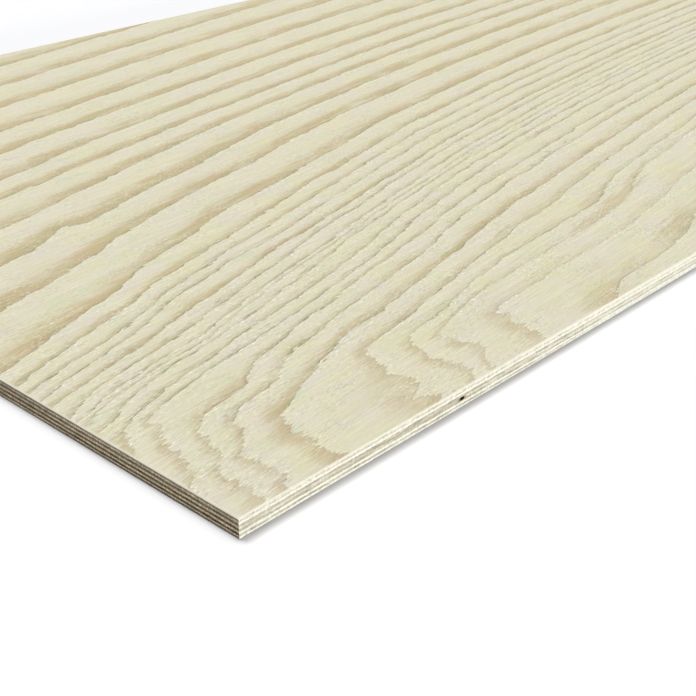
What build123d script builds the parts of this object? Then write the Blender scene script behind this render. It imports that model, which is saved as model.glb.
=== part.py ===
"""A flat sheet of nine-ply softwood plywood, built up veneer by veneer.

X runs along the face grain, Y across it and Z up through the thickness.
The origin is the middle of the underside.
"""

import os

from build123d import *

# Sheet, in millimetres
sheet_length = 2440.0
sheet_width = 1220.0

# Veneers: the sanded face and back, crossbands across the face grain, cores along it
face_thickness = 1.8
crossband_thickness = 2.1
core_thickness = 2.0
crossband_count = 4

# Eased arris round the outer side of the face and the back
arris = 0.6

# Butt joint of one core veneer, which stands open on the front long edge and closes inwards
gapped_core = 2
gap_from_end = 253.0
gap_width = 5.0
gap_inner_width = 2.0
gap_depth = 45.0

# Places that follow from the sizes above
core_count = crossband_count - 1
inner_count = crossband_count + core_count
inner_thickness = crossband_count * crossband_thickness + core_count * core_thickness
front_edge = -sheet_width / 2
gap_middle = -sheet_length / 2 + gap_from_end + gap_width / 2


def outer_veneer(label, bottom, outer_side):
    """A face or back veneer: a plain leaf with the arris of its outer side eased."""
    with BuildPart() as veneer:
        with BuildSketch(Plane.XY.offset(bottom)):
            Rectangle(sheet_length, sheet_width)
        extrude(amount=face_thickness)
        outside = veneer.faces().sort_by(outer_side)[-1]
        chamfer(outside.edges(), length=arris)
    veneer.part.label = label
    return veneer.part


def inner_veneer(label, bottom, thickness, is_gapped):
    """A crossband or core veneer: a square-edged leaf, with the open butt joint if it has one."""
    with BuildPart() as veneer:
        with BuildSketch(Plane.XY.offset(bottom)):
            Rectangle(sheet_length, sheet_width)
        extrude(amount=thickness)
        if is_gapped:
            with BuildSketch(Plane.XY.offset(bottom)):
                with BuildLine():
                    Polyline(
                        (gap_middle - gap_width / 2, front_edge),
                        (gap_middle + gap_width / 2, front_edge),
                        (gap_middle + gap_inner_width / 2, front_edge + gap_depth),
                        (gap_middle - gap_inner_width / 2, front_edge + gap_depth),
                        close=True,
                    )
                make_face()
            extrude(amount=thickness, mode=Mode.SUBTRACT)
    veneer.part.label = label
    return veneer.part


def inner_veneers():
    """The crossbands and cores in turn, numbered and stacked from under the face down to the back."""
    leaves = []
    top = face_thickness + inner_thickness
    for level in range(inner_count):
        number = level // 2 + 1
        is_core = level % 2 == 1
        thickness = core_thickness if is_core else crossband_thickness
        label = f"core_veneer_{number}" if is_core else f"crossband_{number}"
        top -= thickness
        leaves.append(inner_veneer(label, top, thickness, is_core and number == gapped_core))
    return leaves


face_veneer = outer_veneer("face_veneer", face_thickness + inner_thickness, Axis.Z)
back_veneer = outer_veneer("back_veneer", 0, -Axis.Z)

os.makedirs("parts", exist_ok=True)
for leaf in [face_veneer, *inner_veneers(), back_veneer]:
    export_step(leaf, f"parts/{leaf.label}.step")
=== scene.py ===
"""Dresses the plywood sheet: figured outer veneers, sawn edges and a plain studio.

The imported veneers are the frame. The face and the back are modelled afresh as figured leaves, and the
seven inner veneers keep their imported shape. Meshes are in metres. Growth lines and finishes are in
millimetres from the near corner of the sheet, X along the face grain, Y across it and Z up.
"""

import logging
import math
from dataclasses import dataclass
from enum import Enum
from functools import cached_property
from typing import Any, NamedTuple, Sequence, Union

import bpy
import numpy as np
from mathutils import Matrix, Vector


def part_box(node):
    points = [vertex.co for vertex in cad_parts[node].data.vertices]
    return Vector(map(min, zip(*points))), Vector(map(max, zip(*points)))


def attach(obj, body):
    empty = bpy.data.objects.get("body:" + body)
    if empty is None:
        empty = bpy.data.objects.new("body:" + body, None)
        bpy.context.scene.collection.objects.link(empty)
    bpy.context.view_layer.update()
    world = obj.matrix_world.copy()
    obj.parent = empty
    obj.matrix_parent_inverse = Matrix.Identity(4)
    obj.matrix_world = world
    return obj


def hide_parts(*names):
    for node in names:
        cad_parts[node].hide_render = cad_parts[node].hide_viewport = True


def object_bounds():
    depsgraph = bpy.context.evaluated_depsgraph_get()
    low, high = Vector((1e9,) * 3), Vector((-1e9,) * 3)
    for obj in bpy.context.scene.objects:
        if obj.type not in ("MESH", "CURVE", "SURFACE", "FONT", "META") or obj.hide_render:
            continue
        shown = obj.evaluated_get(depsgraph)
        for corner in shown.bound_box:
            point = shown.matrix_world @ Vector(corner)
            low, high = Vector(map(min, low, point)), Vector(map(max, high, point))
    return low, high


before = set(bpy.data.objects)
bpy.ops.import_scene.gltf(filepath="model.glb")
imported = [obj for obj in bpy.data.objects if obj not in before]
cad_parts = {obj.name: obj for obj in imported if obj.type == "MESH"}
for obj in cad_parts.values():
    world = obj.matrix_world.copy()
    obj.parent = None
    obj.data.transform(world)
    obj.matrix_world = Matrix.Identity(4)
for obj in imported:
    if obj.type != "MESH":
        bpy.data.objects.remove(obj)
CAD_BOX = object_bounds()

LOG = logging.getLogger("plywood")
MM = 0.001
TINY = 1e-6
BODY = "root"
SHEET_LENGTH = (CAD_BOX[1].x - CAD_BOX[0].x) / MM
SHEET_WIDTH = (CAD_BOX[1].y - CAD_BOX[0].y) / MM
SHEET_THICKNESS = (CAD_BOX[1].z - CAD_BOX[0].z) / MM

Colour = tuple[float, float, float]
Point = tuple[float, float]
Span = tuple[float, float]
Direction = tuple[float, float, float]
Value = Union[float, "Signal"]


class Slot(Enum):
    """The material slots of the outer veneers."""

    FACE = "face_veneer"
    BACK = "back_veneer"


class Outside(Enum):
    """The side of an outer veneer that shows its figure."""

    UP = 1
    DOWN = -1


# Shader nodes


class Signal:
    """An output socket that takes part in sums as a number does."""

    def __init__(self, nodes: "Nodes", socket: bpy.types.NodeSocket) -> None:
        """Keeps the tree that the socket is in, and the socket."""
        self.nodes = nodes
        self.socket = socket

    def __add__(self, other: Value) -> "Signal":
        """self + other."""
        return self.nodes.math("ADD", self, other)

    def __sub__(self, other: Value) -> "Signal":
        """self - other."""
        return self.nodes.math("SUBTRACT", self, other)

    def __rsub__(self, other: Value) -> "Signal":
        """other - self."""
        return self.nodes.math("SUBTRACT", other, self)

    def __mul__(self, other: Value) -> "Signal":
        """self * other."""
        return self.nodes.math("MULTIPLY", self, other)

    def __truediv__(self, other: Value) -> "Signal":
        """self / other."""
        return self.nodes.math("DIVIDE", self, other)

    def __abs__(self) -> "Signal":
        """Size without sign."""
        return self.nodes.math("ABSOLUTE", self)

    __radd__ = __add__
    __rmul__ = __mul__

    def fract(self) -> "Signal":
        """What is left above the whole number below."""
        return self.nodes.math("FRACT", self)

    def least(self, other: Value) -> "Signal":
        """The lesser of the two."""
        return self.nodes.math("MINIMUM", self, other)

    def most(self, other: Value) -> "Signal":
        """The greater of the two."""
        return self.nodes.math("MAXIMUM", self, other)

    def exp(self) -> "Signal":
        """e to the power of self."""
        return self.nodes.math("EXPONENT", self)

    def fading(self, reach: float) -> "Signal":
        """Falls from 1 where self is 0, to about a third after each reach."""
        return (self / -reach).exp()

    def step(self, low: float, high: float) -> "Signal":
        """Rises smoothly from 0 at low to 1 at high.

        Args:
            low: where the rise starts; above high, the step falls instead.
            high: where the rise ends.

        Returns:
            The step, from 0 to 1.
        """
        start, end = (low, high) if low < high else (high, low)
        rise = self.nodes.node(
            "ShaderNodeMapRange",
            {"interpolation_type": "SMOOTHSTEP"},
            {"Value": self, "From Min": start, "From Max": end},
        )
        return rise if low < high else 1 - rise


class Nodes:
    """A node tree, with the few ways in which its nodes are added."""

    def __init__(self, tree: bpy.types.NodeTree) -> None:
        """Keeps the tree."""
        self.tree = tree

    def feed(self, socket: bpy.types.NodeSocket, value: Any) -> None:
        """Links a signal to a socket, or sets a plain value on it.

        Args:
            socket: the input.
            value: a signal, a number, a vector or a colour.
        """
        if isinstance(value, Signal):
            self.tree.links.new(value.socket, socket)
        elif socket.type == "RGBA":
            socket.default_value = (*value, 1.0)
        else:
            socket.default_value = value

    def node(
        self,
        kind: str,
        settings: dict[str, Any] | None = None,
        inputs: dict[Any, Any] | None = None,
        output: Any = 0,
    ) -> Signal:
        """Adds a node.

        Args:
            kind: the node's type.
            settings: its properties; "stops" are a ramp's places and grey levels.
            inputs: values or signals by input name or number.
            output: name or number of the output that is wanted.

        Returns:
            That output.
        """
        made = self.tree.nodes.new(kind)
        for key, value in (settings or {}).items():
            if key == "stops":
                self.set_stops(made.color_ramp, value)
            else:
                setattr(made, key, value)
        for key, value in (inputs or {}).items():
            self.feed(made.inputs[key], value)
        return Signal(self, made.outputs[output])

    @staticmethod
    def set_stops(ramp: bpy.types.ColorRamp, stops: Sequence[tuple[float, float]]) -> None:
        """Gives a ramp its stops.

        Args:
            ramp: the ramp of a new node, which has two stops.
            stops: place and grey level of each, in rising order.
        """
        while len(ramp.elements) < len(stops):
            ramp.elements.new(1.0)
        for element, (place, grey) in zip(ramp.elements, stops):
            element.position = place
            element.color = (grey, grey, grey, 1.0)

    def math(self, operation: str, *values: Value) -> Signal:
        """The result of a Math node on the values in order."""
        return self.node("ShaderNodeMath", {"operation": operation}, dict(enumerate(values)))

    def mix(self, share: Value, first: Any, second: Any, blend: str = "MIX") -> Signal:
        """Mixes two colours.

        Args:
            share: how much of the second, from 0 to 1.
            first: colour or signal.
            second: colour or signal.
            blend: how the second is laid on the first.

        Returns:
            The mixed colour.
        """
        factor, under, over, result = 0, 6, 7, 2
        return self.node(
            "ShaderNodeMix",
            {"data_type": "RGBA", "clamp_factor": True, "blend_type": blend},
            {factor: share, under: first, over: second},
            result,
        )

    def layer(self, base: Any, *coats: tuple[Value, Any]) -> Signal:
        """Lays colours over one another.

        Args:
            base: the colour or signal at the bottom.
            coats: share and colour of each one laid on it, in order.

        Returns:
            The colour that shows.
        """
        for share, colour in coats:
            base = self.mix(share, base, colour)
        return base

    def shade(self, colour: Signal, factor: Value) -> Signal:
        """The colour with each channel multiplied by the factor."""
        return self.node("ShaderNodeVectorMath", {"operation": "SCALE"}, {0: colour, "Scale": factor})

    def split(self, vector: Signal) -> tuple[Signal, Signal, Signal]:
        """The three parts of a vector."""
        parts = self.node("ShaderNodeSeparateXYZ", inputs={0: vector}).socket.node
        return tuple(Signal(self, out) for out in parts.outputs)


class Bench(Nodes):
    """The node tree of one finish, with its shader and the sheet's millimetres laid out."""

    noise_middle: float = 0.5
    noise_gain: float = 3.2
    seed_steps: tuple[float, float, float] = (1.0, 1.7, 0.6)

    def __init__(self, name: str, lean: float) -> None:
        """Starts a material with a Principled shader.

        Args:
            name: name of the material.
            lean: angle from the X axis at which the grain runs, in degrees.
        """
        self.lean = math.radians(lean)
        self.material = bpy.data.materials.new(name)
        self.material.use_nodes = True
        super().__init__(self.material.node_tree)
        self.shader = self.tree.nodes["Principled BSDF"]
        self.mm = self.node(
            "ShaderNodeMapping",
            inputs={
                "Vector": self.node("ShaderNodeTexCoord", output="Object"),
                "Location": (SHEET_LENGTH / 2, SHEET_WIDTH / 2, 0.0),
                "Scale": (1 / MM, 1 / MM, 1 / MM),
            },
        )
        self.x, self.y, self.z = self.split(self.mm)

    def attribute(self, name: str) -> tuple[Signal, Signal, Signal]:
        """The three parts of a vector that the mesh carries at its points."""
        return self.split(self.node("ShaderNodeAttribute", {"attribute_name": name}, output="Vector"))

    def grain(
        self,
        size: tuple[float, float, float],
        seed: float,
        detail: float = 2.0,
        rough: float = 0.55,
        lean: float | None = None,
    ) -> Signal:
        """Noise stretched along the wood.

        Args:
            size: size of a patch along X, Y and Z in millimetres.
            seed: shifts the pattern.
            detail: finer layers.
            rough: weight of the finer layers.
            lean: angle from the X axis in degrees, where it isn't the bench's own.

        Returns:
            About -1 to 1, with 0 in the middle.
        """
        turn = self.lean if lean is None else math.radians(lean)
        spot = self.node(
            "ShaderNodeMapping",
            {"vector_type": "TEXTURE"},
            {
                "Vector": self.mm,
                "Location": [seed * step * length for step, length in zip(self.seed_steps, size)],
                "Rotation": (0.0, 0.0, turn),
                "Scale": size,
            },
        )
        noise = self.node(
            "ShaderNodeTexNoise",
            inputs={"Vector": spot, "Scale": 1.0, "Detail": detail, "Roughness": rough},
        )
        return (noise - self.noise_middle) * self.noise_gain

    def finish(
        self, colour: Signal, roughness: Signal, relief: Signal, specular: float
    ) -> bpy.types.Material:
        """Feeds the shader.

        Args:
            colour: base colour.
            roughness: roughness.
            relief: height in millimetres.
            specular: specular level.

        Returns:
            The finished material.
        """
        bump = self.node("ShaderNodeBump", inputs={"Height": relief, "Distance": MM}, output="Normal")
        inputs = {"Base Color": colour, "Roughness": roughness, "Normal": bump}
        for name, value in {**inputs, "Specular IOR Level": specular}.items():
            self.feed(self.shader.inputs[name], value)
        return self.material


# Growth figure


class RingTone(NamedTuple):
    """How a growth ring looks: how brown, over what share of its width, and how dark its line is."""

    brown: float
    share: float
    line: float


BROAD = RingTone(1.1, 0.28, 0.70)
WIDE = RingTone(1.15, 0.34, 0.70)
MIDDLE = RingTone(0.85, 0.28, 0.75)
SOFT = RingTone(0.8, 0.36, 0.8)
FINE = RingTone(0.42, 0.30, 0.9)
LIGHT = RingTone(0.33, 0.28, 0.65)
FAINT = RingTone(0.22, 0.27, 0.5)


@dataclass(frozen=True)
class GrowthLine:
    """The dark late edge of one growth ring on a peeled veneer, from the near end to the far one.

    A line starts at the near end of the sheet or, where it is the side of an arch, at the front edge.
    """

    tone: RingTone
    points: tuple[Point, ...]

    def outline(self) -> np.ndarray:
        """The line eased at its corners and carried on past both ends of the sheet.

        Returns:
            Points as rows.
        """
        beyond, tail_rise, tail_length, tail_points, cut = 400.0, 0.19, 900.0, 9, 0.25
        path = np.array(self.points, float)
        head = path[0] - path[1]
        path = np.vstack([path[0] + head / np.linalg.norm(head) * beyond, path])
        eased = [path[0], path[1]]
        for start, end in zip(path[1:-1], path[2:]):
            eased += [start * (1 - cut) + end * cut, start * cut + end * (1 - cut)]
        eased.append(path[-1])
        x_end, y_end = path[-1]
        if x_end < SHEET_LENGTH:
            run = np.linspace(0.0, SHEET_LENGTH + beyond - x_end, tail_points)[1:]
            rise = tail_rise * tail_length * (1 - np.exp(-run / tail_length))
            eased += [np.array((x_end + r, y_end + u)) for r, u in zip(run, rise)]
        return np.array(eased)

    def contains(self, spots: np.ndarray) -> np.ndarray:
        """Which spots are younger wood, below the line or under its arch.

        Args:
            spots: points as rows.

        Returns:
            True for each spot inside.
        """
        path = self.outline()
        floor = -900.0
        ring = np.vstack([path, (path[-1, 0], floor), (path[0, 0], floor)])
        inside = np.zeros(len(spots), bool)
        x, y = spots[:, 0], spots[:, 1]
        for (ax, ay), (bx, by) in zip(ring, np.roll(ring, -1, axis=0)):
            if ay == by:
                continue
            crosses = (ay > y) != (by > y)
            inside ^= crosses & (x < (bx - ax) * (y - ay) / (by - ay) + ax)
        return inside

    def distance(self, spots: np.ndarray) -> np.ndarray:
        """Distance of each spot to the line.

        Args:
            spots: points as rows.

        Returns:
            Millimetres.
        """
        path = self.outline()
        nearest = np.full(len(spots), np.inf)
        for start, end in zip(path[:-1], path[1:]):
            along = end - start
            share = np.clip((spots - start) @ along / max(along @ along, TINY), 0.0, 1.0)
            nearest = np.minimum(nearest, np.linalg.norm(spots - start - share[:, None] * along, axis=1))
        return nearest


class Stain(NamedTuple):
    """A patch of late wood: its middle, half its length and width, its rise along X and how brown it is."""

    x: float
    y: float
    length: float
    width: float
    rise: float
    brown: float

    def nearness(self, spots: np.ndarray) -> np.ndarray:
        """How near each spot is: 1 in the middle, 0 at the rim and less outside."""
        far_off = -2.0
        along = (spots[:, 0] - self.x) / self.length
        across = (spots[:, 1] - self.y - (spots[:, 0] - self.x) * self.rise) / self.width
        return np.maximum(1 - along**2 - across**2, far_off)


@dataclass(frozen=True)
class Figure:
    """The growth lines of a veneer, from the outermost ring inwards, and its patches of late wood."""

    lines: tuple[GrowthLine, ...]
    stains: tuple[Stain, ...]
    outer_width: float = 85.0
    narrowest: float = 6.0
    widest: float = 110.0
    closest: float = 1.0

    def distances(self, spots: np.ndarray, count: np.ndarray) -> list[np.ndarray]:
        """Distances to the two lines outside each spot and the two inside it.

        Args:
            spots: points as rows, in millimetres.
            count: how many lines go round each spot.

        Returns:
            Distances from the outermost of the four inwards, not a number where there is no line.
        """
        offsets = (-2, -1, 0, 1)
        far = [np.full(len(spots), np.nan) for _ in offsets]
        for number, line in enumerate(self.lines):
            for place, offset in enumerate(offsets):
                mine = count + offset == number
                far[place][mine] = line.distance(spots[mine])
        return far

    def rings(self, spots: np.ndarray) -> tuple[np.ndarray, np.ndarray]:
        """Counts the growth rings at each spot.

        Args:
            spots: points as rows, in millimetres.

        Returns:
            Ring number that rises inwards by one a ring and has no kink at a line, and the tone of the
            nearest lines as rows.
        """
        count = sum(line.contains(spots).astype(int) for line in self.lines)
        before, outer, inner, after = self.distances(spots, count)
        width = self.outer_width
        beyond = np.maximum(width - np.nan_to_num(inner, nan=width), self.closest)
        outer = np.where(np.isnan(outer), beyond, outer)
        inner = np.where(np.isnan(inner), np.maximum(width - outer, self.closest), inner)
        total = outer + inner
        width_before = np.clip(np.nan_to_num(before - outer, nan=width), self.narrowest, self.widest)
        width_after = np.clip(np.nan_to_num(after - inner, nan=width), self.narrowest, self.widest)
        t = outer / total
        rise_out = 2 * total / (total + width_before)
        rise_in = 2 * total / (total + width_after)
        eased = rise_out * (t**3 - 2 * t**2 + t) + (3 * t**2 - 2 * t**3) + rise_in * (t**3 - t**2)
        tones = np.array([line.tone for line in self.lines])
        last = len(self.lines) - 1
        low, high = tones[np.clip(count - 1, 0, last)], tones[np.clip(count, 0, last)]
        return count + eased, low * (1 - t[:, None]) + high * t[:, None]

    def patches(self, spots: np.ndarray) -> np.ndarray:
        """Finds the patch nearest to each spot.

        Args:
            spots: points as rows, in millimetres.

        Returns:
            Rows of how near it is, how brown it is, and a nought that fills the vector.
        """
        near = np.array([stain.nearness(spots) for stain in self.stains])
        strength = np.array([stain.brown for stain in self.stains])[near.argmax(axis=0)]
        return np.column_stack([near.max(axis=0), strength, np.zeros(len(spots))])


def growth(tone: RingTone, *points: Point) -> GrowthLine:
    """One growth line and its tone."""
    return GrowthLine(tone, points)


FACE_LINES = (
    growth(BROAD, (0, 1148), (250, 1190), (520, 1240)),
    growth(BROAD, (0, 1062), (300, 1112), (700, 1180), (1050, 1240)),
    growth(BROAD, (0, 978), (260, 1015), (600, 1083), (1000, 1150)),
    growth(BROAD, (0, 890), (240, 930), (420, 968), (800, 1035)),
    growth(BROAD, (0, 806), (200, 838), (330, 868), (520, 905), (900, 970)),
    growth(BROAD, (0, 728), (180, 762), (300, 795), (450, 826), (700, 868)),
    growth(BROAD, (0, 650), (120, 680), (290, 724), (330, 728), (375, 745), (480, 766), (700, 806)),
    growth(BROAD, (0, 598), (120, 634), (245, 665), (285, 676), (302, 672), (340, 686), (375, 692),
        (420, 698), (560, 728), (700, 752)),
    growth(BROAD, (0, 528), (100, 560), (190, 586), (260, 602), (320, 620), (380, 634), (450, 655),
        (600, 690), (700, 708)),
    growth(WIDE, (0, 456), (80, 484), (135, 501), (180, 515), (205, 522), (225, 537), (242, 543),
        (252, 535), (275, 535), (300, 543), (340, 557), (380, 567), (410, 577), (455, 582), (500, 597),
        (620, 632), (720, 652)),
    growth(BROAD, (0, 394), (40, 404), (80, 416), (120, 424), (180, 443), (220, 456), (260, 474),
        (300, 490), (340, 500), (400, 518), (460, 533), (500, 537), (545, 550), (640, 577), (740, 600)),
    growth(BROAD, (0, 303), (20, 312), (60, 327), (100, 343), (140, 357), (160, 360), (200, 379),
        (240, 398), (280, 411), (320, 421), (360, 440), (400, 451), (440, 461), (500, 474), (560, 489),
        (620, 502), (760, 541)),
    growth(MIDDLE, (0, 278), (20, 284), (40, 294), (80, 306), (120, 319), (180, 338), (220, 358),
        (260, 368), (320, 383), (360, 394), (440, 418), (500, 435), (540, 447), (580, 453), (628, 466),
        (760, 500)),
    growth(FINE, (0, 260), (40, 273), (60, 280), (80, 283), (120, 293), (160, 311), (200, 325), (240, 340),
        (280, 350), (320, 363), (360, 371), (400, 381), (440, 394), (500, 409), (560, 424), (640, 445),
        (760, 474)),
    growth(FINE, (0, 242), (40, 257), (80, 267), (100, 275), (120, 279), (160, 295), (200, 313), (240, 322),
        (300, 340), (340, 347), (380, 353), (420, 365), (500, 386), (560, 402), (600, 412), (660, 426),
        (760, 451)),
    growth(SOFT, (0, 228), (40, 238), (80, 249), (120, 259), (160, 271), (200, 284), (240, 296), (300, 310),
        (340, 326), (380, 334), (440, 347), (480, 356), (520, 365), (580, 383), (660, 399), (760, 424)),
    growth(FINE, (0, 203), (20, 214), (40, 224), (60, 229), (100, 237), (140, 247), (180, 257), (220, 270),
        (260, 281), (300, 294), (340, 302), (380, 316), (440, 336), (500, 346), (560, 363), (600, 374),
        (660, 386), (760, 410)),
    growth(FINE, (0, 191), (40, 208), (60, 214), (80, 218), (110, 227), (130, 229), (160, 233), (200, 244),
        (240, 258), (280, 268), (340, 285), (400, 299), (440, 311), (500, 327), (560, 342), (600, 351),
        (640, 361), (700, 376), (760, 389)),
    growth(FAINT, (0, 180), (20, 191), (40, 201), (60, 206), (80, 211), (110, 219), (150, 222), (200, 236),
        (240, 250), (300, 269), (340, 279), (400, 292), (440, 304), (500, 318), (560, 333), (600, 341),
        (700, 364), (760, 377)),
    growth(FINE, (0, 164), (20, 173), (40, 184), (60, 192), (80, 199), (100, 207), (120, 212), (140, 213),
        (180, 223), (220, 231), (260, 242), (300, 253), (340, 265), (380, 275), (420, 290), (480, 303),
        (520, 314), (560, 324), (600, 333), (660, 347), (760, 366)),
    growth(FINE, (-12, 95), (0, 112), (4, 121), (8, 130), (13, 144), (13, 149), (40, 167), (60, 175),
        (80, 182), (113, 190), (160, 199), (180, 206), (220, 215), (260, 223), (320, 236), (360, 245),
        (400, 257), (440, 269), (480, 282), (520, 296), (560, 304), (600, 316), (660, 331), (720, 343)),
    growth(FINE, (-12, 38), (0, 45), (8, 57), (17, 66), (18, 75), (25, 82), (22, 90), (26, 98), (23, 105),
        (30, 114), (34, 126), (39, 134), (46, 145), (39, 152), (60, 162), (80, 167), (100, 174), (120, 178),
        (160, 185), (200, 194), (240, 201), (280, 209), (340, 223), (400, 238), (440, 249), (480, 262),
        (520, 277), (560, 286), (600, 296), (640, 306), (700, 320), (750, 331)),
    growth(FINE, (25, -10), (26, 0), (31, 12), (33, 22), (30, 32), (28, 48), (33, 59), (41, 67), (49, 79),
        (56, 92), (58, 104), (63, 116), (75, 122), (85, 130), (120, 134), (137, 139), (150, 150),
        (162, 156), (170, 165), (200, 172), (230, 180), (260, 190), (300, 197), (340, 207), (370, 217),
        (420, 227), (460, 236), (500, 246), (540, 257), (580, 269), (620, 277), (660, 287), (720, 295),
        (770, 304)),
    growth(FINE, (46, -10), (48, 0), (52, 8), (61, 14), (60, 24), (64, 32), (62, 42), (62, 50), (56, 57),
        (64, 63), (72, 73), (78, 82), (88, 92), (84, 101), (95, 107), (106, 113), (118, 117), (140, 121),
        (168, 128), (180, 140), (192, 149), (220, 157), (250, 161), (270, 170), (300, 176), (340, 185),
        (375, 191), (420, 203), (450, 207), (480, 217), (520, 231), (560, 242), (600, 251), (640, 260),
        (700, 274), (740, 277), (790, 288)),
    growth(MIDDLE, (116, -10), (115, 0), (109, 10), (107, 18), (112, 30), (110, 38), (113, 46), (106, 53),
        (112, 61), (118, 71), (118, 79), (124, 84), (140, 90), (160, 99), (180, 108), (200, 117),
        (220, 123), (250, 136), (280, 144), (320, 148), (345, 157), (380, 164), (420, 173), (460, 182),
        (500, 191), (540, 204), (580, 211), (620, 222), (650, 229), (670, 229), (720, 238), (780, 249),
        (820, 256)),
    growth(FINE, (222, -10), (226, 0), (236, 12), (212, 21), (237, 28), (240, 40), (241, 51), (233, 58),
        (234, 66), (242, 74), (243, 86), (248, 100), (258, 110), (285, 116), (310, 121), (345, 126),
        (380, 136), (420, 143), (460, 155), (500, 163), (540, 170), (580, 181), (640, 187), (680, 193),
        (720, 207), (760, 214), (800, 221), (845, 231)),
    growth(LIGHT, (272, -10), (276, 0), (286, 12), (288, 22), (284, 38), (284, 48), (280, 58), (289, 74),
        (288, 84), (296, 93), (310, 98), (340, 104), (370, 109), (400, 119), (430, 127), (460, 131),
        (500, 140), (560, 146), (600, 147), (640, 152), (700, 156), (730, 168), (760, 179), (790, 191),
        (850, 201)),
    growth(FAINT, (300, -8), (304, 6), (312, 20), (322, 29), (329, 37), (327, 46), (321, 58), (320, 70),
        (326, 82), (345, 88), (370, 95), (400, 103), (440, 109), (500, 114), (560, 118), (600, 120),
        (640, 123), (700, 131), (755, 143), (780, 159), (820, 173), (860, 184)),
    growth(FAINT, (376, -8), (380, 4), (388, 18), (391, 30), (386, 42), (398, 56), (391, 66), (402, 74),
        (455, 78), (510, 84), (560, 88), (610, 88), (670, 92), (720, 103), (780, 111), (820, 124),
        (880, 132)),
    growth(LIGHT, (488, -10), (496, 0), (508, 12), (545, 27), (590, 23), (640, 28), (690, 35), (730, 50),
        (770, 66), (850, 82), (1000, 104)),
    growth(MIDDLE, (770, -10), (790, 5), (830, 22), (900, 40), (1000, 58), (1300, 112)),
    growth(MIDDLE, (960, -10), (985, 6), (1040, 22), (1150, 40), (1500, 92)),
    growth(MIDDLE, (1300, -10), (1340, 8), (1450, 22), (1800, 60)),
    growth(MIDDLE, (1650, -10), (1700, 8), (1850, 26), (2100, 50)),
)

FACE_STAINS = (
    Stain(700, 141, 112, 12, 0.186, 0.62),
    Stain(706, 56, 72, 22, 0.19, 0.60),
    Stain(497, 15, 48, 18, 0.10, 0.50),
    Stain(535, 57, 42, 7, 0.05, 0.28),
    Stain(716, 169, 62, 9, 0.26, 0.36),
    Stain(800, 169, 52, 8, 0.33, 0.40),
    Stain(114, 141, 56, 10, 0.25, 0.42),
    Stain(188, 118, 36, 7, 0.17, 0.42),
    Stain(148, 101, 34, 7, 0.36, 0.40),
    Stain(288, 150, 40, 8, 0.15, 0.50),
)

BACK_LINES = (
    growth(BROAD, (0, 1130), (400, 1160), (900, 1175), (1500, 1168), (2440, 1200)),
    growth(BROAD, (0, 1052), (350, 1085), (800, 1108), (1400, 1096), (2440, 1130)),
    growth(BROAD, (0, 985), (300, 1020), (780, 1048), (1300, 1035), (1900, 1052), (2440, 1070)),
    growth(MIDDLE, (0, 930), (320, 962), (700, 990), (1300, 980), (2440, 1012)),
    growth(BROAD, (0, 868), (260, 905), (640, 935), (1250, 922), (1800, 944), (2440, 952)),
    growth(MIDDLE, (0, 822), (300, 858), (700, 886), (1250, 880), (2440, 905)),
    growth(BROAD, (0, 770), (260, 812), (640, 842), (1200, 838), (2440, 862)),
    growth(BROAD, (180, -10), (150, 120), (120, 300), (150, 480), (260, 640), (420, 742), (700, 792),
        (1200, 790), (1700, 800), (2440, 816)),
    growth(MIDDLE, (330, -10), (300, 160), (280, 320), (310, 470), (420, 600), (600, 690), (900, 736),
        (1500, 742), (2440, 758)),
    growth(BROAD, (560, -10), (520, 150), (500, 300), (540, 420), (640, 540), (820, 620), (1100, 664),
        (1600, 676), (2440, 700)),
    growth(MIDDLE, (800, -10), (770, 140), (760, 280), (810, 400), (930, 490), (1150, 560), (1650, 598),
        (2440, 628)),
    growth(BROAD, (1120, -10), (1080, 130), (1085, 240), (1150, 340), (1300, 430), (1600, 500), (2000, 530),
        (2440, 548)),
    growth(MIDDLE, (1480, -10), (1440, 110), (1460, 200), (1560, 300), (1750, 380), (2440, 450)),
    growth(BROAD, (1850, -10), (1820, 90), (1860, 170), (2000, 250), (2440, 330)),
    growth(MIDDLE, (2180, -10), (2160, 60), (2220, 120), (2440, 190)),
    growth(LIGHT, (2330, -10), (2320, 25), (2350, 60), (2440, 96)),
)

BACK_STAINS = (
    Stain(420, 180, 70, 24, 0.10, 0.45),
    Stain(950, 905, 170, 12, 0.03, 0.40),
    Stain(1720, 640, 150, 14, 0.04, 0.40),
)


# Finishes


@dataclass(frozen=True)
class Finish:
    """A finish of the sheet, and the bench that it is made on."""

    name: str
    seed: float
    lean: float

    @cached_property
    def bench(self) -> Bench:
        """The finish's own node tree."""
        return Bench(self.name, self.lean)

    def grain(self, pattern: int, along: float, across: float, deep: float = 9.0, **more: float) -> Signal:
        """One of the finish's patterns of noise, with patches of a size in millimetres."""
        return self.bench.grain((along, across, deep), self.seed + pattern, **more)


@dataclass(frozen=True)
class Rings:
    """What the growth rings are at each spot of a face."""

    brown: Signal
    line: Signal
    past: Signal
    slant: Signal


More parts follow.
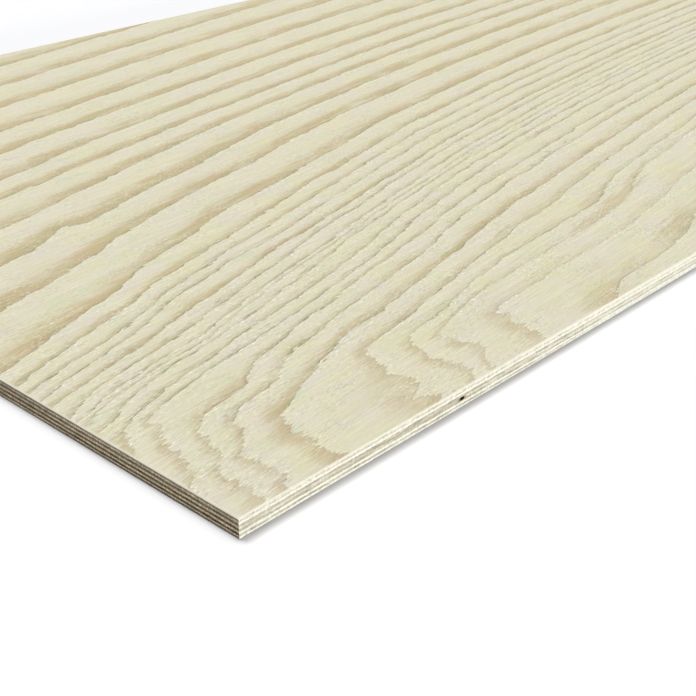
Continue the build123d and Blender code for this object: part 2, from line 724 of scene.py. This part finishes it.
@dataclass(frozen=True)
class FaceFinish(Finish):
    """Sanded softwood veneer: pale early wood that browns up to a dark late edge, ring after ring."""

    pale: Colour = (0.765, 0.725, 0.544)
    pink: Colour = (0.768, 0.695, 0.545)
    green: Colour = (0.705, 0.710, 0.505)
    yellow: Colour = (0.762, 0.728, 0.490)
    lilac: Colour = (0.768, 0.714, 0.588)
    brown: Colour = (0.590, 0.494, 0.280)
    russet: Colour = (0.625, 0.484, 0.286)
    olive: Colour = (0.560, 0.502, 0.276)
    rosy_brown: Colour = (0.622, 0.515, 0.330)
    dark: Colour = (0.340, 0.300, 0.180)
    # painted highlight on the raised flecks of fibre
    fleck_glint: Colour = (0.93, 0.905, 0.80)
    # paler rim of the face: frayed fibres and a painted highlight on the eased arris
    worn_and_lit: Colour = (0.89, 0.85, 0.71)
    fibre_lean: float = 4.0
    jag: float = 7.0
    line_reach: float = 1.4
    second_line: float = 4.5
    relief: float = 0.07
    fleck_height: float = 0.08
    pit_depth: float = 0.12
    roughness: float = 0.62
    specular: float = 0.15
    rim: Span = (2.6, 0.6)
    rim_seed: float = 31.0

    def material(self) -> bpy.types.Material:
        """Builds the finish on a mesh that carries "figure", "tone" and "stain".

        Returns:
            The material.
        """
        bench, rings = self.bench, self.rings()
        fibre = self.grain(11, 55, 1.15, detail=3.0, lean=self.fibre_lean)
        thread = self.grain(12, 12, 0.6, lean=self.fibre_lean)
        broad = self.grain(13, 150, 4.5)
        torn = self.grain(25, 70, 35).step(-0.4, 0.4) * 0.7 + 0.3
        # Raised flecks of fibre: they stand up in the bump, and their pale colour is a painted highlight of
        # the fibres catching the light.
        fleck_glint = self.grain(23, 6, 1.3, detail=1.0).step(0.26, 0.5)
        fleck_glint = fleck_glint * (rings.past.fading(6) * 0.8 + torn * 0.5)
        # Sunken pits, whose darker colour is painted shade in the hollow.
        shaded_pit = self.grain(19, 6, 1.2, detail=1.0).step(0.30, 0.55) * torn

        tint = self.grain(27, 45, 6)
        late_wood = bench.layer(
            self.brown, (tint.step(0.0, 0.4), self.russet), (tint.step(0.0, -0.4), self.olive)
        )
        wood = bench.layer(
            self.early_wood(),
            (rings.brown, late_wood),
            (rings.brown * rings.slant, self.rosy_brown),
            (self.stained(), late_wood),
            (rings.line, self.dark),
            (fleck_glint, self.fleck_glint),
        )
        wood = bench.shade(wood, 1 + fibre * 0.13 + thread * 0.02 + broad * 0.015 - shaded_pit * 0.18)

        step_down = rings.past.fading(1.1)
        height = rings.brown.most(step_down) * (1 - rings.slant * 0.75) * self.relief
        height = height + fleck_glint * self.fleck_height - shaded_pit * self.pit_depth + fibre * 0.01 + thread * 0.008
        roughness = self.roughness + fibre * 0.03 - rings.brown * 0.06
        return bench.finish(self.worn_and_lit_arris(wood), roughness, height, self.specular)

    def rings(self) -> Rings:
        """Reads the growth rings off the mesh and roughens them.

        Returns:
            How brown the wood is, the thin dark line, millimetres past the last line, and where the rings
            cross the grain.
        """
        ring, per_x, spread = self.bench.attribute("figure")
        tone, share, line = self.bench.attribute("tone")
        slant = (abs(per_x) * spread).step(0.45, 0.9)
        teeth = self.grain(0, 60, 12) * 0.6 + self.grain(1, 27, 2.8, detail=3.0, rough=0.6) * 1.1
        waver = self.grain(3, 70, 16) * 0.045 + self.grain(4, 22, 9) * 2.2 / spread
        late = 1 - (ring + per_x * teeth * self.jag + waver).fract()
        streaks = self.grain(5, 38, 1.6) * (slant * 0.3 + 0.3) + self.grain(6, 90, 5) * 0.2
        fade = ((late / share / (1 - slant * 0.15) - 1 + streaks) / 0.26).exp() + 1
        patchy = self.grain(7, 75, 16) * 0.9 + self.grain(8, 50, 1.5) * 0.35 + 1
        brown = (tone + slant * (0.55 - tone) * 0.55) * patchy.most(0.15) / fade
        broken = self.grain(9, 40, 9) * 1.4 + self.grain(10, 14, 3) * 0.8 + 0.9
        above = late * spread
        second = abs(above - self.grain(15, 60, 16) * 8 - self.second_line).fading(1.0)
        second = second * self.grain(16, 45, 12).step(0.0, 0.3) * 0.5
        thin_line = above.fading(self.line_reach).most(second) * line * (1 - slant * 0.65)
        thin_line = thin_line * broken.most(0.0).least(1.3) + above.fading(8) * brown * 0.2
        return Rings(brown, thin_line, (1 - late) * spread, slant)

    def stained(self) -> Signal:
        """How brown the patches of late wood are.

        Returns:
            The share of brown.
        """
        near, strength, _ = self.bench.attribute("stain")
        streaks = self.grain(28, 60, 5) + self.grain(29, 38, 1.6)
        return (near + streaks * 0.7).step(0.0, 1.0) * strength

    def early_wood(self) -> Signal:
        """Pale wood with clouds of pink, green, yellow and lilac.

        Returns:
            The colour.
        """
        cloud = self.grain(17, 60, 26) + self.grain(18, 18, 7) * 0.7
        haze = self.grain(21, 50, 30) + self.grain(22, 18, 10) * 0.6
        return self.bench.layer(
            self.pale,
            (cloud.step(0.05, 0.9), self.pink),
            (cloud.step(-0.05, -0.9), self.green),
            (haze.step(0.0, 0.8), self.yellow),
            (haze.step(0.0, -0.8), self.lilac),
        )

    def worn_and_lit_arris(self, wood: Signal) -> Signal:
        """Pales the face where its edges are eased and fuzzy: the frayed fibres are paler, and part of the
        paleness is a painted highlight of the arris catching the light.

        Args:
            wood: colour of the face.

        Returns:
            The colour with its paler rim.
        """
        x, y = self.bench.x, self.bench.y
        inset = x.least(SHEET_LENGTH - x).least(y).least(SHEET_WIDTH - y)
        ragged = self.bench.grain((6, 6, 9), self.rim_seed) * 0.6
        return self.bench.mix((inset + ragged).step(*self.rim) * 0.7, wood, self.worn_and_lit)


class Ply(NamedTuple):
    """A veneer as it shows on the edges: its upper side, how brown on a long edge, how pale on an end."""

    top: float
    brown: float
    pale: float


@dataclass(frozen=True)
class EdgeFinish(Finish):
    """The sawn edge: veneers whose grain runs along it are pale, and end grain is brown and open.

    A run is where something starts and ends along an edge, and a rise is the same up the thickness.
    """

    ivory: Colour = (0.894, 0.880, 0.758)
    tan: Colour = (0.571, 0.527, 0.406)
    tan_deep: Colour = (0.437, 0.396, 0.301)
    shaded_pale: Colour = (0.87, 0.745, 0.548)
    end_brown: Colour = (0.178, 0.124, 0.050)
    end_grey: Colour = (0.385, 0.31, 0.198)
    end_black: Colour = (0.052, 0.033, 0.008)
    # pale arris: frayed fibres and a painted highlight of the eased edge
    arris: Colour = (0.85, 0.81, 0.67)
    foot: Colour = (0.965, 0.972, 0.925)
    rosy: Colour = (1.0, 0.955, 0.94)
    greenish: Colour = (0.955, 1.0, 0.93)
    # near-black painted shade inside the open core joint
    gap_shade: Colour = (0.024, 0.008, 0.005)
    gap_mouth_brown: Colour = (0.33, 0.23, 0.17)
    gap_from_end: float = 253.0
    gap_width: float = 5.0
    gap_depth: float = 45.0
    gap_rise: Span = (7.1, 10.1)
    gapped_ply: int = 4
    mouth_brown_start: Span = (-6.5, -3.0)
    mouth_brown_end: Span = (6.5, 4.5)
    drift: float = 0.7
    drift_run: Span = (60.0, 520.0)
    end_lift: float = 0.5
    far_pale_run: Span = (230.0, 560.0)
    tan_run: Span = (80.0, 150.0)
    foot_rise: Span = (2.6, 0.8)
    far_foot_rise: Span = (3.6, 2.2)
    far_foot_run: Span = (280.0, 520.0)
    # painted shade at the foot of an end, near the floor
    foot_shade_rise: Span = (2.8, 1.5)
    foot_shade_run: Span = (280.0, 170.0)
    even_run: Span = (110.0, 300.0)
    dim_run: Span = (140.0, 330.0)
    arris_highlight_rise: Span = (16.5, 17.4)
    glue_blend: float = 0.22
    glue_depth: float = 0.06
    roughness: float = 0.72
    specular: float = 0.2
    # from the back up
    layup: tuple[Ply, ...] = (
        Ply(1.8, 0.0, 0.05), Ply(3.9, 0.85, 0.92), Ply(5.9, 0.0, 0.0), Ply(8.0, 1.0, 0.90),
        Ply(10.0, 0.55, 0.10), Ply(12.1, 1.05, 1.0), Ply(14.1, 0.0, 0.50), Ply(16.2, 0.55, 0.84),
        Ply(18.0, 0.14, 0.85),
    )

    def stack(self, level: Signal, values: Sequence[float]) -> Signal:
        """A value that changes from veneer to veneer.

        Args:
            level: height as a share of the thickness.
            values: one for each veneer, from the back up.

        Returns:
            The value, with a narrow blend at each glue line.
        """
        half_blend, stops, low = self.glue_blend / 2, [], 0.0
        for ply, value in zip(self.layup, values):
            for height in (low + half_blend, ply.top - half_blend):
                stops.append((height / SHEET_THICKNESS, value))
            low = ply.top
        # times one, because a Math node makes the ramp's grey a number
        return self.bench.node("ShaderNodeValToRGB", {"stops": stops}, {"Fac": level}) * 1.0

    def material(self) -> bpy.types.Material:
        """Builds the finish.

        Returns:
            The material.
        """
        bench, x, z = self.bench, self.bench.x, self.bench.z
        turn_x, _, turn_z = bench.split(bench.node("ShaderNodeNewGeometry", output="Normal"))
        on_end = abs(turn_x).step(0.35, 0.6)
        drift = x.step(*self.drift_run) * (2 * self.drift) - self.drift
        drift = drift * (1 - on_end) + on_end * self.end_lift
        wander = self.grain(0, 65, 65, 7) * 0.32 + self.grain(2, 15, 15, 5) * 0.2
        level = (z + drift + wander) / SHEET_THICKNESS
        is_cross = self.stack(level, [float(number % 2) for number in range(len(self.layup))])
        open_grain = on_end * (1 - is_cross) + (1 - on_end) * is_cross
        glue = 1 - abs(is_cross * 2 - 1)

        streak = self.grain(5, 30, 30, 0.5, detail=3.0)
        pores = self.grain(7, 2.2, 2.2, 1.5)
        saw = self.grain(11, 1.8, 1.8, 8, detail=1.0)
        flake = self.grain(12, 5, 5, 1.1)
        cloud = self.grain(13, 14, 14, 2.4)
        wood = bench.mix(on_end, self.long_edge(level), self.short_end(level, is_cross))
        rough_cut = pores * (0.16 + open_grain * 0.16 + on_end * 0.45) + saw * (0.12 + on_end * 0.2)
        rough_cut = rough_cut + flake * (0.10 + open_grain * 0.18) + streak * 0.03
        calm = 1 - x.step(*self.far_pale_run) * (1 - on_end) * 0.25
        wood = bench.shade(wood, 1 + rough_cut * calm - glue * 0.15)
        wood = bench.mix(cloud.step(0.05, 0.7), wood, self.rosy, "MULTIPLY")
        wood = bench.mix(cloud.step(-0.05, -0.7), wood, self.greenish, "MULTIPLY")
        # Chamfers take the pale arris colour, partly frayed fibres and partly a painted highlight of the
        # eased edge catching the light; the band along the top of each end is a painted highlight.
        rim = abs(turn_z).step(0.2, 0.5).most(on_end * z.step(*self.arris_highlight_rise) * 0.85)
        wood = self.open_joint(bench.mix(rim, wood, self.arris))

        height = pores * (0.03 + open_grain * 0.05) + streak * 0.02 + saw * 0.03 - glue * self.glue_depth
        return bench.finish(wood, self.roughness + pores * 0.04, height, self.specular)

    def long_edge(self, level: Signal) -> Signal:
        """Ivory veneers and tan crossbands along a long edge.

        Args:
            level: height as a share of the thickness.

        Returns:
            The colour.
        """
        x, z = self.bench.x, self.bench.z
        brown = self.stack(level, [ply.brown for ply in self.layup])
        gapped = [float(number == self.gapped_ply) for number in range(len(self.layup))]
        tan_leaf = self.stack(level, gapped) * x.step(self.gap_from_end + 3, self.gap_from_end + 1)
        tan_leaf = tan_leaf * x.step(*self.tan_run)
        patch = self.grain(9, 26, 26, 2.2)
        # The edge grows paler towards the far end.
        paler_far = x.step(*self.far_pale_run) * 0.33
        brown = (brown + tan_leaf * 0.4) * (1 + patch * 0.6) * (1 - paler_far)
        tan = self.bench.mix(patch * 1.2 + 0.4, self.tan, self.tan_deep)
        # Paler at the foot: below 2.6 mm all along, a painted highlight that lifts the shade at the bottom
        # of the edge; higher up towards the far end, where the veneer bands sit lower.
        far_foot = z.step(*self.far_foot_rise) * x.step(*self.far_foot_run) * 0.7
        pale_foot = (z.step(*self.foot_rise) * 0.6).most(far_foot)
        return self.bench.layer(self.ivory, (brown, tan), (pale_foot, self.foot))

    def short_end(self, level: Signal, is_cross: Signal) -> Signal:
        """Dark end grain between paler crossbands on an end.

        Args:
            level: height as a share of the thickness.
            is_cross: 1 on a crossband.

        Returns:
            The colour.
        """
        bench, y, z = self.bench, self.bench.y, self.bench.z
        pale = self.stack(level, [ply.pale for ply in self.layup])
        pale = pale + (0.45 - pale) * y.step(*self.even_run) * 0.3
        patch = self.grain(15, 16, 16, 2.4)
        blot = self.grain(17, 11, 11, 2.2).step(-0.1, 0.35)
        end_grain = bench.mix(pale + patch * 0.5, self.end_brown, self.end_grey)
        end_grain = bench.mix(blot * (1 - pale) * 0.95, end_grain, self.end_black)
        long_grain = bench.mix(1 - pale + patch * 0.9, self.shaded_pale, self.end_grey)
        wood = bench.mix(is_cross, end_grain, long_grain)
        # Painted shade darkens the foot of the end near the floor, over the part nearer the front.
        painted_foot_shade = z.step(*self.foot_shade_rise) * y.step(*self.foot_shade_run)
        return bench.shade(wood, 1 - y.step(*self.dim_run) * 0.12 - painted_foot_shade * 0.5)

    def open_joint(self, wood: Signal) -> Signal:
        """Paints shade into the open core joint, and browns the wood beside its mouth.

        Args:
            wood: colour of the edge.

        Returns:
            The colour with the joint.
        """
        bench, (low, high) = self.bench, self.gap_rise
        past_start = bench.x - self.gap_from_end
        aside = abs(past_start - self.gap_width / 2)
        middle, half = (low + high) / 2, (high - low) / 2
        in_core = abs(bench.z - middle).step(half + 0.4, half - 0.3)
        in_core = in_core * bench.y.step(self.gap_depth + 2, self.gap_depth + 1)
        # Browner wood beside the joint's mouth.
        mouth_brown = past_start.step(*self.mouth_brown_start) * aside.step(*self.mouth_brown_end) * in_core
        # The inside of the joint is painted near-black as shade.
        inside = aside.step(self.gap_width / 2 + 0.7, self.gap_width / 2 - 0.2) * in_core
        return bench.layer(wood, (mouth_brown * 0.85, self.gap_mouth_brown), (inside, self.gap_shade))


# Pieces


class Run(NamedTuple):
    """A run of grid cells: where it ends along the sheet or across it, and the size of a cell."""

    end: float
    cell: float


@dataclass
class OuterVeneer:
    """A figured face or back veneer, gridded finest where its rings are closest."""

    slot: Slot
    outside: Outside
    figure: Figure
    finish: FaceFinish
    edge: bpy.types.Material
    along: tuple[Run, ...]
    across: tuple[Run, ...]
    seed: int
    arris: float = 0.6
    wear: float = 0.7
    wear_power: int = 3
    rim_reach: float = 1e-5
    late_reach: float = 0.4
    spread_limits: Span = (7.0, 120.0)

    @property
    def node(self) -> str:
        """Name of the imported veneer, which is its slot's too."""
        return self.slot.value

    def stations(self, runs: Sequence[Run]) -> np.ndarray:
        """Grid lines across the flat of the veneer, inside its eased rim.

        Args:
            runs: the runs of cells in order.

        Returns:
            Places in millimetres from the near corner.
        """
        places, start = [np.array([self.arris])], self.arris
        for run in runs:
            stop = run.end - self.arris if run is runs[-1] else run.end
            cells = max(1, round((stop - start) / run.cell))
            places.append(np.linspace(start, stop, cells + 1)[1:])
            start = stop
        return np.concatenate(places)

    def build(self) -> bpy.types.Object:
        """Models the veneer, gives it its figure and dresses it.

        Returns:
            The finished piece.
        """
        low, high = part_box(self.node)
        xs, ys = self.stations(self.along), self.stations(self.across)
        outer, inner = (high.z, low.z) if self.outside is Outside.UP else (low.z, high.z)
        piece = self.grid(xs, ys, outer)
        self.sides(piece, inner - outer)
        self.fray(piece, outer)
        self.lay_figure(piece, xs, ys)
        self.dress(piece, outer)
        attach(piece, BODY)
        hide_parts(self.node)
        return piece

    @staticmethod
    def spots(piece: bpy.types.Object) -> np.ndarray:
        """The piece's vertices as rows, in metres."""
        flat = np.zeros(len(piece.data.vertices) * 3)
        piece.data.vertices.foreach_get("co", flat)
        return flat.reshape(-1, 3)

    def grid(self, xs: np.ndarray, ys: np.ndarray, level: float) -> bpy.types.Object:
        """Adds the flat of the veneer.

        Args:
            xs: grid lines along the sheet in millimetres.
            ys: grid lines across it.
            level: height of the flat in metres.

        Returns:
            The piece so far.
        """
        bpy.ops.object.select_all(action="DESELECT")
        bpy.ops.mesh.primitive_grid_add(
            x_subdivisions=len(xs) - 1, y_subdivisions=len(ys) - 1, size=2.0, location=(0, 0, 0)
        )
        piece = bpy.context.object
        piece.name = piece.data.name = self.node + "_figured"
        spots = self.spots(piece)
        column = np.rint((spots[:, 0] + 1) / 2 * (len(xs) - 1)).astype(int)
        row = np.rint((spots[:, 1] + 1) / 2 * (len(ys) - 1)).astype(int)
        spots[:, 0] = (xs[column] - SHEET_LENGTH / 2) * MM
        spots[:, 1] = (ys[row] - SHEET_WIDTH / 2) * MM
        spots[:, 2] = level
        piece.data.vertices.foreach_set("co", spots.ravel())
        return piece

    def sides(self, piece: bpy.types.Object, depth: float) -> None:
        """Extrudes the eased arris and the edges from the rim, and closes the inner side.

        Args:
            piece: the gridded flat.
            depth: signed thickness from the outside in, in metres.
        """
        rim = self.arris * MM
        inward = math.copysign(1.0, depth)
        grow_x = SHEET_LENGTH / (SHEET_LENGTH - 2 * self.arris)
        grow_y = SHEET_WIDTH / (SHEET_WIDTH - 2 * self.arris)
        bpy.context.view_layer.objects.active = piece
        bpy.ops.object.mode_set(mode="EDIT")
        bpy.ops.mesh.select_mode(type="EDGE")
        bpy.ops.mesh.select_all(action="DESELECT")
        bpy.ops.mesh.select_non_manifold()
        bpy.ops.mesh.extrude_edges_move(TRANSFORM_OT_translate={"value": (0, 0, inward * rim)})
        bpy.ops.transform.resize(value=(grow_x, grow_y, 1), center_override=(0, 0, 0))
        bpy.ops.mesh.extrude_edges_move(TRANSFORM_OT_translate={"value": (0, 0, depth - inward * rim)})
        bpy.ops.mesh.edge_face_add()
        bpy.ops.mesh.select_all(action="SELECT")
        bpy.ops.mesh.normals_make_consistent(inside=False)
        bpy.ops.object.mode_set(mode="OBJECT")

    def fray(self, piece: bpy.types.Object, level: float) -> None:
        """Wears the arris unevenly, always inwards, and keeps the sheet to its size.

        Args:
            piece: the closed veneer.
            level: height of its flat in metres.
        """
        draw = np.random.default_rng(self.seed)
        spots = self.spots(piece)
        half = np.array([SHEET_LENGTH, SHEET_WIDTH]) / 2 * MM
        flat = np.abs(spots[:, 2] - level) < TINY
        for axis in (0, 1):
            rim = flat & (np.abs(np.abs(spots[:, axis]) - half[axis] + self.arris * MM) < self.rim_reach)
            inset = draw.random(rim.sum()) ** self.wear_power * self.wear * MM
            spots[rim, axis] -= np.sign(spots[rim, axis]) * inset
        spots[:, :2] = np.clip(spots[:, :2], -half, half)
        piece.data.vertices.foreach_set("co", spots.ravel())
        piece.data.update()

    def lay_figure(self, piece: bpy.types.Object, xs: np.ndarray, ys: np.ndarray) -> None:
        """Counts the rings at the grid lines and writes them, with the patches, to the mesh.

        Args:
            piece: the closed veneer.
            xs: grid lines along the sheet in millimetres.
            ys: grid lines across it.
        """
        grid_x, grid_y = np.meshgrid(xs, ys)
        spots = np.column_stack([grid_x.ravel(), grid_y.ravel()])
        ring, tone = self.figure.rings(spots)
        ring, tone = ring.reshape(grid_x.shape), tone.reshape(*grid_x.shape, -1)
        stain = self.figure.patches(spots).reshape(*grid_x.shape, -1)
        per_y, per_x = np.gradient(ring, ys, xs)
        spread = np.clip(1 / np.maximum(np.hypot(per_x, per_y), TINY), *self.spread_limits)
        ring -= self.late_reach / spread
        places = self.spots(piece) / MM
        column = self.nearest(xs, places[:, 0] + SHEET_LENGTH / 2)
        row = self.nearest(ys, places[:, 1] + SHEET_WIDTH / 2)
        self.write(piece, "figure", np.dstack([ring, per_x, spread])[row, column])
        self.write(piece, "tone", tone[row, column])
        self.write(piece, "stain", stain[row, column])

    @staticmethod
    def nearest(lines: np.ndarray, places: np.ndarray) -> np.ndarray:
        """Number of the grid line nearest to each place."""
        return np.rint(np.interp(places, lines, np.arange(len(lines)))).astype(int)

    @staticmethod
    def write(piece: bpy.types.Object, name: str, vectors: np.ndarray) -> None:
        """Writes one row of the vectors to each vertex, as a named attribute."""
        layer = piece.data.attributes.new(name, "FLOAT_VECTOR", "POINT")
        layer.data.foreach_set("vector", vectors.astype(np.float32).ravel())

    def dress(self, piece: bpy.types.Object, level: float) -> None:
        """Puts the figure on the flat, and the sawn edge on the rest.

        Args:
            piece: the closed veneer.
            level: height of its flat in metres.
        """
        piece.data.materials.clear()
        piece.data.materials.append(self.finish.material())
        piece.data.materials.append(self.edge)
        centres = np.zeros(len(piece.data.polygons) * 3)
        piece.data.polygons.foreach_get("center", centres)
        on_flat = np.abs(centres.reshape(-1, 3)[:, 2] - level) < TINY
        piece.data.polygons.foreach_set("material_index", np.where(on_flat, 0, 1).astype(np.int32))
        piece.data.update()


@dataclass
class InnerVeneers:
    """The seven packed crossbands and cores, dressed as sawn edges."""

    edge: bpy.types.Material

    def build(self) -> list[str]:
        """Gives every inner veneer its finish.

        Returns:
            Their names.
        """
        names = sorted(set(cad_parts) - {slot.value for slot in Slot})
        for name in names:
            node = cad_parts[name]
            node.data.materials.clear()
            node.data.materials.append(self.edge)
        return names


# Studio


@dataclass
class Studio:
    """A white floor, a broad lamp overhead, a low one along the front edge, and the camera."""

    floor_size: float = 40.0
    floor_level: float = -0.0002
    floor_bounce: float = 0.6
    floor_lift: Colour = (0.044, 0.047, 0.062)
    # reach, depth and samples of the painted contact shadow
    crevice: float = 0.014
    crevice_depth: float = 0.4
    crevice_samples: int = 8
    sky: float = 0.12
    high_lamp: float = 2.625
    high_from: Direction = (0.0, 0.33, 0.945)
    high_spread: float = 32.0
    low_lamp: float = 2.45
    low_from: Direction = (0.0, -0.9976, 0.07)
    low_spread: float = 6.0
    camera_at: tuple[float, float, float] = (-1.7034, -1.1658, 0.5402)
    camera_turn: tuple[float, float, float] = (62.270, 0.0, -47.0715)
    lens: float = 65.0
    sensor: float = 36.0

    def build(self) -> None:
        """Sets up floor, sky, lamps and camera."""
        bpy.context.scene.view_settings.view_transform = "Standard"
        self.floor()
        self.world()
        self.lamp("high_lamp", self.high_lamp, self.high_from, self.high_spread)
        self.lamp("low_lamp", self.low_lamp, self.low_from, self.low_spread)
        self.camera()

    @staticmethod
    def seen(nodes: Nodes) -> Signal:
        """Light Path's camera, glossy and transmission rays together.

        Args:
            nodes: node tree of the floor or the world.

        Returns:
            1 for those rays and 0 for light.
        """
        camera, glossy, through = (
            nodes.node("ShaderNodeLightPath", output=f"Is {ray} Ray")
            for ray in ("Camera", "Glossy", "Transmission")
        )
        return camera.most(glossy).most(through)

    def floor(self) -> None:
        """Adds the floor, white to the camera, with the sheet's shadow from the lamps and a painted contact
        shadow around it.
        """
        bpy.ops.object.select_all(action="DESELECT")
        bpy.ops.mesh.primitive_plane_add(size=self.floor_size, location=(0, 0, self.floor_level))
        floor = bpy.context.object
        floor.name = "floor"
        material = bpy.data.materials.new("floor_white")
        material.use_nodes = True
        nodes = Nodes(material.node_tree)
        nodes.tree.nodes.remove(nodes.tree.nodes["Principled BSDF"])
        dull = nodes.node("ShaderNodeBsdfDiffuse", inputs={"Color": (self.floor_bounce,) * 3})
        # Painted contact shadow: ambient occlusion darkens the floor's colour beside the sheet.
        crevice = nodes.node(
            "ShaderNodeAmbientOcclusion", {"samples": self.crevice_samples}, {"Distance": self.crevice}, "AO"
        )
        shadow = (1 - crevice) * self.crevice_depth
        white = nodes.node("ShaderNodeBsdfDiffuse", inputs={"Color": 1 - shadow})
        glow = nodes.node("ShaderNodeEmission", inputs={"Color": self.floor_lift})
        lit = nodes.node("ShaderNodeAddShader", inputs={0: white, 1: glow})
        surface = nodes.node("ShaderNodeMixShader", inputs={0: self.seen(nodes), 1: dull, 2: lit})
        nodes.feed(nodes.tree.nodes["Material Output"].inputs["Surface"], surface)
        floor.data.materials.append(material)

    def world(self) -> None:
        """Adds a dim sky that is white to the camera."""
        world = bpy.data.worlds.new("studio")
        world.use_nodes = True
        bpy.context.scene.world = world
        nodes = Nodes(world.node_tree)
        back = nodes.tree.nodes["Background"]
        nodes.feed(back.inputs["Color"], (1.0, 1.0, 1.0))
        nodes.feed(back.inputs["Strength"], self.seen(nodes) * (1 - self.sky) + self.sky)

    @staticmethod
    def lamp(name: str, strength: float, source: Direction, spread: float) -> None:
        """Adds a broad far-off lamp.

        Args:
            name: its name.
            strength: its strength.
            source: direction from the sheet to the lamp.
            spread: how wide it looks from the sheet, in degrees.
        """
        data = bpy.data.lights.new(name, "SUN")
        data.energy = strength
        data.angle = math.radians(spread)
        lamp = bpy.data.objects.new(name, data)
        bpy.context.collection.objects.link(lamp)
        across = math.hypot(source[0], source[1])
        lamp.rotation_euler = (math.atan2(across, source[2]), 0.0, math.atan2(source[0], -source[1]))

    def camera(self) -> None:
        """Adds the camera at the photograph's viewing angle."""
        bpy.ops.object.camera_add(
            location=self.camera_at, rotation=[math.radians(turn) for turn in self.camera_turn]
        )
        camera = bpy.context.object
        camera.name = "camera"
        camera.data.lens = self.lens
        camera.data.sensor_width = self.sensor
        bpy.context.scene.camera = camera


def main() -> None:
    """Builds the sheet and the studio in order."""
    logging.basicConfig(level=logging.INFO, format="%(name)s: %(message)s")
    edge = EdgeFinish("sawn_edge", seed=41.0, lean=0.0).material()
    face = OuterVeneer(
        Slot.FACE, Outside.UP, Figure(FACE_LINES, FACE_STAINS),
        FaceFinish("sanded_face", seed=0.0, lean=9.0), edge,
        along=(Run(450, 4.5), Run(1000, 8.0), Run(SHEET_LENGTH, 15.0)),
        across=(Run(350, 3.0), Run(800, 5.0), Run(SHEET_WIDTH, 8.0)), seed=5,
    )
    back = OuterVeneer(
        Slot.BACK, Outside.DOWN, Figure(BACK_LINES, BACK_STAINS),
        FaceFinish("sanded_back", seed=57.0, lean=4.0), edge,
        along=(Run(SHEET_LENGTH, 12.0),), across=(Run(SHEET_WIDTH, 9.0),), seed=6,
    )
    for veneer in (face, back):
        piece = veneer.build()
        LOG.info("%s: %d faces", piece.name, len(piece.data.polygons))
    for name in InnerVeneers(edge).build():
        LOG.info("%s: dressed", name)
    Studio().build()


if __name__ == "__main__":
    main()
